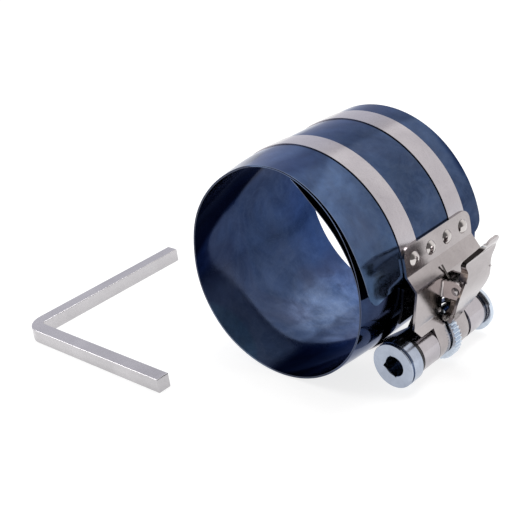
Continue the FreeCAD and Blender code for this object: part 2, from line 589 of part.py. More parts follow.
# centreline of the web in the XZ plane, from the pawl tip to the thumb tab
tip = (SP_X + (WHEEL_R + 0.22) * math.cos(rad(44.5)), SP_Z + (WHEEL_R + 0.22) * math.sin(rad(44.5)))
LEV = [tip, (59.78, 28.27), (64.64, 37.19), (67.01, 45.61), (68.26, 53.13), (73.10, 58.00), (74.30, 61.00)]
web_path = fillet_path(LEV, [60.0, 36.0, 40.0, 3.2, 8.0])
web = strip(web_path, LEVER_T, 34, 61)
# outline across the width, against height
HALF = [(17.0, 3.2), (20.0, 3.3), (22.0, 3.6), (25.5, 5.2), (29.6, 7.7), (33.0, 9.4), (35.4, 10.2), (37.6, 10.45), (40.5, 9.9), (42.6, 9.3),
        (44.4, 8.7), (46.0, 8.4), (47.5, 8.4), (49.0, 9.0), (50.8, 10.2), (52.2, 10.7), (53.2, 10.6), (54.3, 9.4), (55.8, 6.9), (57.2, 5.0), (58.2, 4.4), (58.9, 4.3)]
TAB_Z, TAB_RISE = 58.9, 2.9     # where the thumb tab's rounded end starts, and its height


def outline(extra, zlo, zhi, tab=True):
    left, right = [], []
    z = zlo
    zs = []
    while z < zhi - 1e-6:
        zs.append(z)
        z += 0.9
    if zhi - zs[-1] < 0.3:
        zs.pop()
    zs.append(zhi)
    for z in zs:
        h = hermite(HALF, z) + extra
        left.append(V(0, LEVER_YC - h, z))
        right.append(V(0, LEVER_YC + h, z))
    bl, br = Part.BSplineCurve(), Part.BSplineCurve()
    bl.interpolate(left)
    br.interpolate(right)
    edges = [bl.toShape()]
    if tab:
        h = hermite(HALF, zhi) + extra
        edges.append(Part.Arc(left[-1], V(0, LEVER_YC, zhi + TAB_RISE + extra), right[-1]).toShape())
    else:
        edges.append(Part.makeLine(left[-1], right[-1]))
    edges.append(br.toShape())
    edges.append(Part.makeLine(right[0], left[0]))
    return Part.Face(Part.Wire(Part.__sortEdges__(edges)))


prism = outline(0.0, 17.0, TAB_Z).extrude(V(100, 0, 0))
web = web.common(prism)
# side cheeks bent inwards along both edges from above the pivot to the tab
CHEEK = [(67.35, 43.25), (63.55, 44.1), (63.9, 45.6), (65.1, 49.0), (66.2, 52.0), (67.0, 53.5), (68.7, 55.45), (71.2, 58.15), (72.4, 59.4),
         (73.75, 59.4), (73.15, 58.0), (68.35, 53.1), (67.05, 45.6)]
cheeks = Part.Face(Part.makePolygon([V(x, 34, z) for x, z in CHEEK + CHEEK[:1]])).extrude(V(0, 27, 0)).common(prism)
cheeks = cheeks.cut(outline(-LEVER_T, 17.0, TAB_Z).extrude(V(100, 0, 0)))
# lugs from the tip up to the pivot
LUG1 = (44.0, 45.0)
LUG2 = (50.0, 51.0)


# inner boundaries: the near lug follows the pawl's arm, the far one is wider
IN1 = [(PIN_X - 3.2, PIN_Z + 0.8), (PIN_X - 3.1, PIN_Z - 1.2), (56.1, 31.6), (55.5, 29.0), (54.8, 26.8), (53.0, 24.4), (52.0, 22.8), (52.5, 21.4)]
IN2 = [(PIN_X - 3.2, PIN_Z + 0.8), (PIN_X - 4.6, PIN_Z - 1.6), (50.6, 32.8), (48.7, 31.2), (48.3, 26.0), (50.4, 23.4), (52.5, 21.4)]


def lug(y0, y1, inner):
    prof = [(tip[0] - 0.15, tip[1] + 0.6), (57.0, 24.15), (59.5, 28.1), (61.85, 32.4), (64.2, 37.0), (65.1, 39.8), (61.6, 40.2)]
    w = Part.makePolygon([V(x, y0, z) for x, z in prof + inner] + [V(prof[0][0], y0, prof[0][1])])
    f = Part.Face(w).extrude(V(0, y1 - y0, 0))
    return f.fuse(cyl(3.3, y0, y1, PIN_X, PIN_Z))


# notched boss on the near side of the pawl's nose
NX, NZ, NR = 53.30, 22.35, 1.55
boss = cyl(NR, 42.75, 44.2, NX, NZ).fuse(Part.makeCone(NR - 0.35, NR, 0.35, V(NX, 42.40, NZ), Y))
for k in range(7):
    g = box(NR - 0.30, NR + 1.0, 42.0, 43.85, -0.17, 0.17)
    g.rotate(V(0, 0, 0), Y, 360.0 / 7 * k)
    g.translate(V(NX, 0, NZ))
    boss = boss.cut(g)
boss = boss.cut(cyl(0.55, 42.0, 42.9, NX, NZ))
lever = web.fuse([cheeks, lug(LUG1[0], LUG1[1], IN1), lug(LUG2[0], LUG2[1], IN2), boss])
lever = lever.cut(cyl(PIN_R + 0.04, 40, 56, PIN_X, PIN_Z))
lever = lever.removeSplitter()
save("pawl_lever", lever)

# ---------------------------------------------------------------- pivot pin, clip
pin = cyl(PIN_R, EAR1[0] - 0.05, 54.3, PIN_X, PIN_Z)
hp, hpr = 0.75, 1.85
Rp = (hpr ** 2 + hp ** 2) / (2 * hp)
dome = Part.makeSphere(Rp, V(PIN_X, EAR1[0] - 0.03 - hp + Rp, PIN_Z)).common(cyl(2.3, EAR1[0] - 0.03 - hp - 0.5, EAR1[0] - 0.03, PIN_X, PIN_Z))
pin = pin.fuse(dome)
groove = cyl(2.0, 52.35, 52.95, PIN_X, PIN_Z).cut(cyl(1.05, 52, 53.2, PIN_X, PIN_Z))
pin = pin.cut(groove).removeSplitter()
save("pivot_pin", pin)
clip = cyl(2.9, 52.38, 52.92, PIN_X, PIN_Z).cut(cyl(1.08, 52, 53.5, PIN_X, PIN_Z)).cut(box(PIN_X - 0.9, PIN_X + 0.9, 52, 53.5, PIN_Z - 4, PIN_Z))
save("pivot_clip", clip)

# ---------------------------------------------------------------- pawl spring
SPR_R, SPR_W = 2.20, 0.40
SY0, SY1 = 45.6, 49.4
turns = 4.0
hx = Part.makeHelix((SY1 - SY0) / turns, SY1 - SY0, SPR_R)
circ = Part.Wire([Part.makeCircle(SPR_W, V(SPR_R, 0, 0), V(0, 1, 0))])
coil = Part.Wire(hx.Edges).makePipeShell([circ], True, True)
# helix axis Z -> Y, starting on the pin's left side
coil.rotate(V(0, 0, 0), V(1, 0, 0), -90)
coil.rotate(V(0, 0, 0), V(0, 1, 0), 214.0 - 180.0)
coil.translate(V(PIN_X, SY0, PIN_Z))


def rod(p, q, r):
    p, q = V(*p), V(*q)
    return Part.makeCylinder(r, (q - p).Length, p, q - p)


# free leg: tangent on the coil's left side, over the bracket's bend and out
leg_a0 = (PIN_X + SPR_R * math.cos(rad(204.0)), 45.6, PIN_Z + SPR_R * math.sin(rad(204.0)))
leg_a1 = (51.95, 44.75, 45.35)
leg_b0 = (PIN_X + SPR_R * math.cos(rad(127.0)), 49.3, PIN_Z + SPR_R * math.sin(rad(127.0)))
leg_b1 = (leg_b0[0] + 0.8 * 10.0, 48.4, leg_b0[2] + 0.6 * 10.0)
spring = Part.makeCompound([coil, rod(leg_a0, leg_a1, SPR_W), rod(leg_b0, leg_b1, SPR_W)])
try:
    sp = coil.fuse([rod(leg_a0, leg_a1, SPR_W), rod(leg_b0, leg_b1, SPR_W)])
    if sp.isValid() and len(sp.Solids) == 1:
        spring = sp
except Exception as ex:
    print("spring fuse", ex)
save("pawl_spring", spring)

# ---------------------------------------------------------------- square key
def key():
    x0, y0 = KEY_X, KEY_Y
    w = KEY_W
    ro, ri = KEY_RO, KEY_RI
    pts = []
    e = []
    # outline of the L, counter-clockwise from the outer corner
    A = V(x0 + ro, y0, 0)
    B = V(x0 + KEY_SHORT, y0, 0)
    C = V(x0 + KEY_SHORT, y0 + w, 0)
    D = V(x0 + w + ri, y0 + w, 0)
    E = V(x0 + w, y0 + w + ri, 0)
    F = V(x0 + w, y0 + KEY_LONG, 0)
    G = V(x0, y0 + KEY_LONG, 0)
    H = V(x0, y0 + ro, 0)
    s = math.sqrt(0.5)
    e.append(Part.makeLine(A, B))
    e.append(Part.makeLine(B, C))
    e.append(Part.makeLine(C, D))
    e.append(Part.Arc(D, V(x0 + w + ri - ri * s, y0 + w + ri - ri * s, 0), E).toShape())
    e.append(Part.makeLine(E, F))
    e.append(Part.makeLine(F, G))
    e.append(Part.makeLine(G, H))
    e.append(Part.Arc(H, V(x0 + ro - ro * s, y0 + ro - ro * s, 0), A).toShape())
    k = Part.Face(Part.Wire(e)).extrude(V(0, 0, w))
    k.rotate(V(x0, y0, 0), V(0, 0, 1), KEY_TURN)
    sel = []
    for q in k.Edges:
        sel.append(q)
    try:
        k2 = k.makeFillet(0.35, sel)
        if k2.isValid():
            return k2
    except Exception as ex:
        print("key fillet", ex)
    return k


save("square_key", key())
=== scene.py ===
import bpy, bmesh, json, math
from mathutils import Vector, Matrix


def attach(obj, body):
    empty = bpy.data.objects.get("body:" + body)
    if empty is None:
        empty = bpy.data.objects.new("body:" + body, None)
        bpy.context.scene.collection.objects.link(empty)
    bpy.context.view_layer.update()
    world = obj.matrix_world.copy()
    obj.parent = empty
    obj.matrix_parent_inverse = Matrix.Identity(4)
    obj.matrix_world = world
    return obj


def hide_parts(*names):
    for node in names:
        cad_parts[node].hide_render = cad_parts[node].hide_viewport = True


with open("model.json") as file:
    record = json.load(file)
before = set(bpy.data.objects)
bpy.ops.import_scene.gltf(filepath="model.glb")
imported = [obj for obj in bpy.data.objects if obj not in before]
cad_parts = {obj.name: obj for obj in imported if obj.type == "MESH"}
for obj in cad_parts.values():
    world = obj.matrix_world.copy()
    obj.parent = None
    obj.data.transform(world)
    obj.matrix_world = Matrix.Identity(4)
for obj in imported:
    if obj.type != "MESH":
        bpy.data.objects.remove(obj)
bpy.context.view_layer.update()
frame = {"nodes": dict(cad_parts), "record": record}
MM = 0.001
OX, OY = 30.09, -20.09          # sleeve's axis and near rim in the row frame, mm
R_SLEEVE = 47.35
BAND_R = R_SLEEVE + 0.03
BAND_T = 0.40
ZC = BAND_R + BAND_T
SPX, SPZ = 45.88, 11.25
sc = bpy.context.scene


# ------------------------------------------------------------------ camera
def add_camera():
    cam = bpy.data.cameras.new("camera")
    cam.sensor_width = 36.0
    cam.sensor_fit = 'HORIZONTAL'
    cam.lens = 73.094
    cam.clip_start, cam.clip_end = 0.01, 20.0
    o = bpy.data.objects.new("camera", cam)
    r = Vector((0.725232, 0.676249, -0.129327))
    u = Vector((-0.204567, 0.390999, 0.897370))
    w = Vector((-0.657412, 0.624345, -0.421903))
    x, y = (270.368 + OX) * MM, (-263.443 + OY) * MM
    m = Matrix(((r.x, u.x, -w.x, x), (r.y, u.y, -w.y, y), (r.z, u.z, -w.z, 0.233330), (0, 0, 0, 1)))
    o.matrix_world = m
    sc.collection.objects.link(o)
    sc.camera = o
    return o


camera = add_camera()


# ------------------------------------------------------------------ node helpers
class NT:
    def __init__(self, name):
        self.m = bpy.data.materials.new(name)
        self.m.use_nodes = True
        self.t = self.m.node_tree
        for n in list(self.t.nodes):
            self.t.nodes.remove(n)
        self.out = self.n('ShaderNodeOutputMaterial')
        self.b = self.n('ShaderNodeBsdfPrincipled')
        self.l(self.b.outputs[0], self.out.inputs[0])
        self.tc = self.n('ShaderNodeTexCoord')

    def n(self, kind, **kw):
        x = self.t.nodes.new(kind)
        for k, v in kw.items():
            setattr(x, k, v)
        return x

    def l(self, a, b):
        self.t.links.new(a, b)

    def set(self, name, v):
        self.b.inputs[name].default_value = v

    def mapping(self, scale=(1, 1, 1), src='Object', loc=(0, 0, 0), rot=(0, 0, 0)):
        mp = self.n('ShaderNodeMapping')
        mp.inputs['Scale'].default_value = scale
        mp.inputs['Location'].default_value = loc
        mp.inputs['Rotation'].default_value = rot
        self.l(self.tc.outputs[src], mp.inputs['Vector'])
        return mp.outputs[0]

    def noise(self, vec, scale, detail=4.0, rough=0.55, dist=0.0, lac=2.0):
        x = self.n('ShaderNodeTexNoise')
        self.l(vec, x.inputs['Vector'])
        x.inputs['Scale'].default_value = scale
        x.inputs['Detail'].default_value = detail
        x.inputs['Roughness'].default_value = rough
        x.inputs['Lacunarity'].default_value = lac
        x.inputs['Distortion'].default_value = dist
        return x.outputs['Fac']

    def ramp(self, fac, stops, interp='LINEAR'):
        r = self.n('ShaderNodeValToRGB')
        r.color_ramp.interpolation = interp
        el = r.color_ramp.elements
        while len(el) > 1:
            el.remove(el[-1])
        el[0].position, el[0].color = stops[0][0], tuple(stops[0][1]) + (1,)
        for p, c in stops[1:]:
            e = el.new(p)
            e.color = tuple(c) + (1,)
        self.l(fac, r.inputs[0])
        return r.outputs[0]

    def val(self, fac, lo, hi, a=0.0, b=1.0):
        r = self.n('ShaderNodeMapRange')
        r.inputs['From Min'].default_value = a
        r.inputs['From Max'].default_value = b
        r.inputs['To Min'].default_value = lo
        r.inputs['To Max'].default_value = hi
        self.l(fac, r.inputs['Value'])
        return r.outputs[0]

    def mix(self, fac, a, b, mode='MIX'):
        x = self.n('ShaderNodeMix', data_type='RGBA', blend_type=mode)
        for sock, v in ((x.inputs[0], fac), (x.inputs[6], a), (x.inputs[7], b)):
            if hasattr(v, 'is_output'):
                self.l(v, sock)
            elif isinstance(v, (int, float)):
                sock.default_value = v
            else:
                sock.default_value = tuple(v) + (1,) if len(v) == 3 else v
        return x.outputs[2]

    def math(self, op, a, b=None):
        x = self.n('ShaderNodeMath', operation=op)
        for i, v in enumerate((a, b)):
            if v is None:
                continue
            if hasattr(v, 'is_output'):
                self.l(v, x.inputs[i])
            else:
                x.inputs[i].default_value = v
        return x.outputs[0]

    def bump(self, height, strength=0.2, dist=0.0001):
        x = self.n('ShaderNodeBump')
        x.inputs['Strength'].default_value = strength
        x.inputs['Distance'].default_value = dist
        self.l(height, x.inputs['Height'])
        self.l(x.outputs[0], self.b.inputs['Normal'])
        return x


def axis_xyz(k, src='Object'):
    """Object coordinates as separate x, y, z outputs."""
    sp = k.n('ShaderNodeSeparateXYZ')
    k.l(k.tc.outputs[src], sp.inputs[0])
    return sp.outputs


def smooth(k, x, a, b):
    r = k.n('ShaderNodeMapRange', interpolation_type='SMOOTHSTEP')
    r.inputs['From Min'].default_value = a
    r.inputs['From Max'].default_value = b
    k.l(x, r.inputs['Value'])
    return r.outputs[0]


def mat_blued():
    """Heat-blued spring steel: navy with paler blue and violet clouds, soft
    swirls, painted contact shade along the band edges, painted light and shade placed by position, bare metal on the
    cut rims."""
    k = NT("blued_steel")
    v = k.mapping((1, 1, 1))
    X, Y, Z = axis_xyz(k)
    cloud = k.noise(v, 26, 5, 0.58, 1.1)
    mid = k.noise(k.mapping((1, 1, 1), loc=(0.13, 0.05, 0.21)), 62, 6, 0.62, 1.6)
    fine = k.noise(k.mapping((1, 1, 1), loc=(0.02, 0.4, 0.11)), 210, 6, 0.65, 0.8)
    swirl = k.noise(k.mapping((1, 1, 1), loc=(0.31, 0.17, 0.05)), 30, 3, 0.5, 3.2)
    # how far from the sleeve's axis, so that the outside can differ from the inside
    dx = k.math('SUBTRACT', X, OX * MM)
    dz = k.math('SUBTRACT', Z, ZC * MM)
    rr = k.math('SQRT', k.math('ADD', k.math('MULTIPLY', dx, dx), k.math('MULTIPLY', dz, dz)))
    outer = smooth(k, rr, 0.04700, 0.04722)
    # paler blue towards the near rim on the outside
    near = k.math('SUBTRACT', 1.0, smooth(k, Y, (OY + 12) * MM, (OY + 40) * MM))
    # and painted light: paler towards the top of the outside
    up = k.math('MULTIPLY', k.val(Z, 0.02, 0.34, 48 * MM, 94 * MM), outer)
    f = k.math('ADD', k.math('MULTIPLY', k.math('MULTIPLY', near, outer), 0.22), k.val(cloud, 0.02, 0.38, 0.32, 0.70))
    f = k.math('ADD', f, up)
    # inside, painted shading: the sheet is darker towards the top and paler low down
    inner = k.math('SUBTRACT', 1.0, outer)
    f = k.math('ADD', f, k.math('MULTIPLY', k.val(Z, 0.17, -0.13, 22 * MM, 92 * MM), inner))
    f = k.math('ADD', f, k.math('MULTIPLY', k.val(mid, -0.13, 0.13, 0.3, 0.7), k.val(outer, 0.6, 1.0)))
    base = k.ramp(f, [(0.0, (0.018, 0.030, 0.068)), (0.25, (0.032, 0.053, 0.110)), (0.50, (0.054, 0.086, 0.170)), (0.75, (0.084, 0.135, 0.260)), (1.0, (0.120, 0.185, 0.330))])
    vio = k.ramp(swirl, [(0.44, (0, 0, 0)), (0.56, (1, 1, 1)), (0.70, (0, 0, 0))])
    base = k.mix(k.math('MULTIPLY', vio, 0.20), base, (0.085, 0.115, 0.180))
    scr = k.noise(k.mapping((1, 1, 1), loc=(0.9, 0.2, 0.4), rot=(0.4, 0.2, 0.7)), 75, 6, 0.72, 5.5)
    scr = k.ramp(scr, [(0.485, (0, 0, 0)), (0.50, (1, 1, 1)), (0.515, (0, 0, 0))])
    base = k.mix(k.math('MULTIPLY', scr, 0.30), base, (0.115, 0.150, 0.225))
    brown = k.ramp(k.noise(k.mapping((1, 1, 1), loc=(0.7, 0.3, 0.9)), 20, 3, 0.5, 0.7), [(0.52, (0, 0, 0)), (0.70, (1, 1, 1))])
    base = k.mix(k.math('MULTIPLY', brown, 0.40), base, (0.050, 0.048, 0.075))
    # painted dark reflection: a darker streak along the top of the outside, behind the near rim
    sa = k.math('MULTIPLY', smooth(k, dx, 0.001, 0.009), k.math('SUBTRACT', 1.0, smooth(k, dx, 0.014, 0.021)))
    sa = k.math('MULTIPLY', k.math('MULTIPLY', sa, smooth(k, Z, 0.080, 0.088)), k.math('MULTIPLY', near, outer))
    base = k.mix(k.math('MULTIPLY', sa, 0.85), base, (0.42, 0.45, 0.55), 'MULTIPLY')
    # inside: painted shading gives a deeper colour in the middle heights; bluer towards the far end
    zin = k.ramp(k.val(Z, 0.0, 1.0, 0.0, 96 * MM), [(0.06, (1.0, 0.98, 1.0)), (0.20, (0.88, 0.90, 0.98)), (0.38, (0.50, 0.56, 0.68)), (0.55, (0.58, 0.63, 0.76)), (0.80, (0.44, 0.48, 0.58))])
    base = k.mix(inner, base, zin, 'MULTIPLY')
    base = k.mix(k.math('MULTIPLY', inner, smooth(k, Y, (OY + 50) * MM, (OY + 76) * MM)), base, (0.78, 0.96, 1.22), 'MULTIPLY')
    # painted dark reflection along the left of the near opening and on its floor
    yr = k.math('SUBTRACT', Y, OY * MM)
    # which way the face looks: towards the axis or away from it
    nv = k.n('ShaderNodeSeparateXYZ')
    k.l(k.tc.outputs['Normal'], nv.inputs[0])
    away = k.math('ADD', k.math('MULTIPLY', nv.outputs[0], dx), k.math('MULTIPLY', nv.outputs[2], dz))
    inward = k.math('SUBTRACT', 1.0, smooth(k, away, -0.010, 0.010))
    lf = k.math('SUBTRACT', 1.0, smooth(k, dx, -0.034, -0.026))
    lf = k.math('MULTIPLY', lf, smooth(k, k.math('SUBTRACT', Z, k.math('MULTIPLY', yr, 0.606)), 0.0440, 0.0485))
    lf = k.math('MULTIPLY', lf, inward)
    base = k.mix(k.math('MULTIPLY', lf, inner), base, (0.12, 0.13, 0.19), 'MULTIPLY')
    fl = k.math('SUBTRACT', 1.0, smooth(k, Z, 0.006, 0.016))
    ff = k.math('MULTIPLY', fl, k.math('SUBTRACT', 1.0, smooth(k, Y, (OY + 16) * MM, (OY + 30) * MM)))
    ff = k.math('MULTIPLY', ff, smooth(k, dx, -0.012, -0.003))
    base = k.mix(k.math('MULTIPLY', ff, inner), base, (0.45, 0.47, 0.52), 'MULTIPLY')
    # painted pale reflection in a strip along the bottom of the inside
    fb = k.math('MULTIPLY', fl, smooth(k, Y, (OY + 24) * MM, (OY + 38) * MM))
    fb = k.math('MULTIPLY', k.math('MULTIPLY', fb, inner), k.val(mid, 0.5, 1.0, 0.35, 0.60))
    base = k.mix(fb, base, (2.6, 2.45, 2.2), 'MULTIPLY')
    base = k.mix(0.5, base, k.ramp(fine, [(0.3, (0.82, 0.83, 0.86)), (0.7, (1.14, 1.13, 1.11))]), 'MULTIPLY')
    # painted contact shade along both edges of each band
    for y0 in (25.6, 59.0):
        for e, wd, amt in ((y0 - 0.12, 0.34, 0.92), (y0 + 10.6 + 0.1, 0.28, 0.6)):
            d = k.math('ABSOLUTE', k.math('SUBTRACT', Y, (OY + e) * MM))
            g = k.math('SUBTRACT', 1.0, smooth(k, d, wd * 0.45 * MM, wd * MM))
            base = k.mix(k.math('MULTIPLY', k.math('MULTIPLY', g, outer), amt), base, (0.006, 0.008, 0.016))
    lo = k.math('MULTIPLY', k.math('MULTIPLY', near, outer), k.math('SUBTRACT', 1.0, smooth(k, Z, 0.050, 0.075)))
    base = k.mix(lo, base, (0.80, 1.0, 1.0), 'MULTIPLY')
    # painted shade where the bracket covers it
    ub = k.math('MULTIPLY', within(k, Y, OY + 26.0, OY + 71.0, 1.0), k.math('MULTIPLY', smooth(k, dx, 0.036, 0.040), k.math('SUBTRACT', 1.0, smooth(k, Z, 0.044, 0.050))))
    base = k.mix(k.math('MULTIPLY', k.math('MULTIPLY', ub, outer), 0.9), base, (0.008, 0.008, 0.010))
    # sheared rims are bare
    rim = k.math('SUBTRACT', 1.0, smooth(k, Y, (OY + 0.02) * MM, (OY + 0.12) * MM))
    rim = k.math('ADD', rim, smooth(k, Y, (OY + 80 - 0.12) * MM, (OY + 80 - 0.02) * MM))
    base = k.mix(k.math('MULTIPLY', rim, 0.22), base, (0.25, 0.26, 0.30))
    # a painted pale reflection on the low left of the near opening, where the sheet is also made less metallic
    hz = k.math('MULTIPLY', k.math('SUBTRACT', 1.0, smooth(k, Y, (OY + 15) * MM, (OY + 24) * MM)), k.math('SUBTRACT', 1.0, smooth(k, dx, -0.013, -0.004)))
    hz = k.math('MULTIPLY', k.math('MULTIPLY', hz, inward), k.math('SUBTRACT', 1.0, smooth(k, Z, 0.026, 0.042)))
    k.l(k.val(hz, 1.0, 0.25), k.b.inputs['Metallic'])
    base = k.mix(hz, base, (2.0, 2.0, 1.9), 'MULTIPLY')
    # painted light: paler beside the flange
    lw = k.math('MULTIPLY', smooth(k, Y, (OY + 4) * MM, (OY + 9) * MM), k.math('SUBTRACT', 1.0, smooth(k, Z, 0.052, 0.066)))
    lw = k.math('MULTIPLY', k.math('MULTIPLY', lw, near), k.math('MULTIPLY', outer, smooth(k, dx, 0.040, 0.044)))
    base = k.mix(lw, base, (2.2, 2.2, 2.1), 'MULTIPLY')
    k.l(base, k.b.inputs['Base Color'])
    # the oxide film stays dark and blue at low angles too
    k.set('Specular Tint', (0.64, 0.67, 0.77, 1))
    k.l(k.val(fine, 0.07, 0.13, 0.3, 0.7), k.b.inputs['Roughness'])
    k.bump(k.noise(v, 45, 2, 0.5, 0.5), 0.10, 0.0002)
    return k.m


def steel(name, lo, hi, r0, r1, grain=(50, 8, 50), cloud=55.0, bump=0.05, speck=0.22, place=None):
    """Plated steel: clouded tint, fine drawn grain, uneven gloss."""
    k = NT(name)
    v = k.mapping((1, 1, 1))
    c = k.noise(v, cloud, 5, 0.55, 0.5)
    g = k.noise(k.mapping(grain), 60, 4, 0.6)
    spot = k.noise(v, 520, 4, 0.6)
    base = k.ramp(c, [(0.32, lo), (0.68, hi)])
    base = k.mix(0.30, base, k.ramp(g, [(0.3, (0.86, 0.86, 0.87)), (0.7, (1.10, 1.10, 1.09))]), 'MULTIPLY')
    base = k.mix(speck, base, k.ramp(spot, [(0.32, (0.72, 0.71, 0.70)), (0.45, (1, 1, 1)), (0.62, (1, 1, 1)), (0.74, (1.12, 1.12, 1.12))]), 'MULTIPLY')
    if place:
        base = place(k, base, c, spot)
    k.l(base, k.b.inputs['Base Color'])
    k.set('Metallic', 1.0)
    k.l(k.val(k.mix(0.5 if speck > 0.1 else 0.15, c, spot), r0, r1, 0.35, 0.65), k.b.inputs['Roughness'])
    k.bump(g, bump, 0.00003)
    return k.m


def within(k, x, a, b, soft=0.2):
    """1 where x, in millimetres of the row frame, lies between a and b."""
    lo = smooth(k, x, (a - soft) * MM, (a + soft) * MM)
    hi = smooth(k, x, (b - soft) * MM, (b + soft) * MM)
    return k.math('MULTIPLY', lo, k.math('SUBTRACT', 1.0, hi))


def behind_plate(k, base, c, spot):
    """Painted shade behind the front plate."""
    X, Y, Z = axis_xyz(k)
    m = k.math('MULTIPLY', within(k, X, OX + 36.0, OX + 48.6), within(k, Z, 14.0, 42.0, 1.5))
    return k.mix(k.math('MULTIPLY', m, 0.93), base, (0.018, 0.016, 0.014))


def bracket_place(k, base, c, spot):
    base = behind_plate(k, base, c, spot)
    X, Y, Z = axis_xyz(k)
    # painted highlight on the near ear
    e = k.math('MULTIPLY', within(k, Y, OY + 42.6, OY + 43.2, 0.1), within(k, X, OX + 53.2, OX + 66.0))
    return k.mix(e, base, (1.55, 1.50, 1.46), 'MULTIPLY')


def lever_place(k, base, c, spot):
    """Painted shade with speckled painted glints on the pawl arms between the ears; the web keeps its plain finish."""
    X, Y, Z = axis_xyz(k)
    arm = k.math('MULTIPLY', within(k, Y, OY + 43.6, OY + 51.3, 0.15), k.math('SUBTRACT', 1.0, smooth(k, Z, 32.0 * MM, 35.0 * MM)))
    # distance behind the web's outer line
    d = k.math('SUBTRACT', X, k.math('MULTIPLY', Z, 0.60))
    arm = k.math('MULTIPLY', arm, k.math('SUBTRACT', 1.0, smooth(k, d, (OX + 40.9) * MM, (OX + 41.4) * MM)))
    # painted shade with speckled painted glints on the arms
    shade_and_glints = k.ramp(k.noise(k.mapping((1, 1, 1)), 900, 5, 0.7), [(0.40, (0.03, 0.024, 0.018)), (0.52, (0.10, 0.075, 0.055)), (0.62, (0.42, 0.36, 0.32)), (0.70, (0.9, 0.86, 0.82))])
    base = k.mix(k.math('MULTIPLY', arm, 0.85), base, shade_and_glints)
    # the near cheek: painted shade below, a painted dark reflection up to the tab, a painted highlight where it runs
    # into it
    nr = k.n('ShaderNodeSeparateXYZ')
    k.l(k.tc.outputs['Normal'], nr.inputs[0])
    side = k.math('SUBTRACT', 1.0, smooth(k, k.math('ABSOLUTE', nr.outputs[0]), 0.25, 0.50))
    side = k.math('MULTIPLY', side, k.math('SUBTRACT', 1.0, smooth(k, Y, (OY + 43.2) * MM, (OY + 43.6) * MM)))
    low = k.math('MULTIPLY', side, within(k, Z, 36.0, 50.2, 0.5))
    base = k.mix(low, base, (0.70, 0.60, 0.52), 'MULTIPLY')
    pocket = k.math('MULTIPLY', side, within(k, Z, 51.2, 57.8, 0.4))
    base = k.mix(k.math('MULTIPLY', pocket, 0.97), base, (0.010, 0.008, 0.007))
    gleam = k.math('MULTIPLY', side, smooth(k, Z, 57.8 * MM, 58.4 * MM))
    base = k.mix(k.math('MULTIPLY', gleam, 0.9), base, (0.95, 0.94, 0.93))
    # painted shade with speckled painted glints at the pawl's nose
    nose = k.math('MULTIPLY', within(k, Y, OY + 42.0, OY + 43.6, 0.15), arm_nose(k, Z))
    base = k.mix(nose, base, k.ramp(k.noise(k.mapping((1, 1, 1), loc=(0.3, 0.1, 0.2)), 1100, 4, 0.7), [(0.42, (0.05, 0.045, 0.04)), (0.52, (0.35, 0.33, 0.32)), (0.60, (1, 0.98, 0.96))]))
    return base


def arm_nose(k, Z):
    return k.math('SUBTRACT', 1.0, smooth(k, Z, 25.5 * MM, 27.0 * MM))


MAT = {
    "blued_steel": mat_blued(),
    "satin_nickel": steel("satin_nickel", (0.375, 0.345, 0.345), (0.460, 0.428, 0.430), 0.15, 0.23),
    "bracket_nickel": steel("bracket_nickel", (0.365, 0.336, 0.338), (0.450, 0.418, 0.421), 0.15, 0.23, place=bracket_place),
    "lever_nickel": steel("lever_nickel", (0.365, 0.338, 0.342), (0.450, 0.420, 0.426), 0.14, 0.21, place=lever_place),
    "band_nickel": steel("band_nickel", (0.425, 0.402, 0.430), (0.500, 0.476, 0.503), 0.12, 0.18, grain=(6, 90, 6), place=behind_plate),
    "rivet_nickel": steel("rivet_nickel", (0.52, 0.49, 0.48), (0.60, 0.57, 0.56), 0.06, 0.11, bump=0.02),
    "bright_zinc": steel("bright_zinc", (0.365, 0.408, 0.500), (0.450, 0.500, 0.600), 0.12, 0.22, grain=(4, 60, 4), cloud=120.0),
    "wheel_zinc": steel("wheel_zinc", (0.52, 0.585, 0.68), (0.64, 0.71, 0.80), 0.12, 0.20, grain=(4, 60, 4), cloud=120.0),
    "spring_wire": steel("spring_wire", (0.10, 0.092, 0.085), (0.19, 0.175, 0.165), 0.16, 0.26, cloud=300.0, bump=0.02),
    "oiled_steel": steel("oiled_steel", (0.045, 0.045, 0.05), (0.09, 0.088, 0.09), 0.22, 0.34, cloud=300.0, bump=0.02),
    "key_steel": steel("key_steel", (0.46, 0.448, 0.462), (0.54, 0.527, 0.542), 0.20, 0.28, grain=(14, 14, 14), cloud=40.0, bump=0.01, speck=0.05),
}
slot_of = {s["node"]: s["material_slot"] for s in frame["record"]["subparts"]}
FINE = {"near_band": "band_nickel", "far_band": "band_nickel", "near_band_rivet": "rivet_nickel", "near_sleeve_rivet": "rivet_nickel",
        "far_sleeve_rivet": "rivet_nickel", "far_band_rivet": "rivet_nickel", "ratchet_wheel": "wheel_zinc", "end_flange": "wheel_zinc",
        "clamp_bracket": "bracket_nickel", "pawl_lever": "lever_nickel"}
for name, o in frame["nodes"].items():
    m = MAT[FINE.get(name, slot_of[name])]
    if not o.material_slots:
        o.data.materials.append(m)
    for s in o.material_slots:
        s.material = m


# ------------------------------------------------------------------ sleeve
# the wound sheet, finer than its CAD solid: radius of the sheet's middle
# surface against the angle round the axis, as three tables
SHEET_T = 0.35
SLEEVE_LEN = 80.0


def rad(d):
    return d * math.pi / 180.0


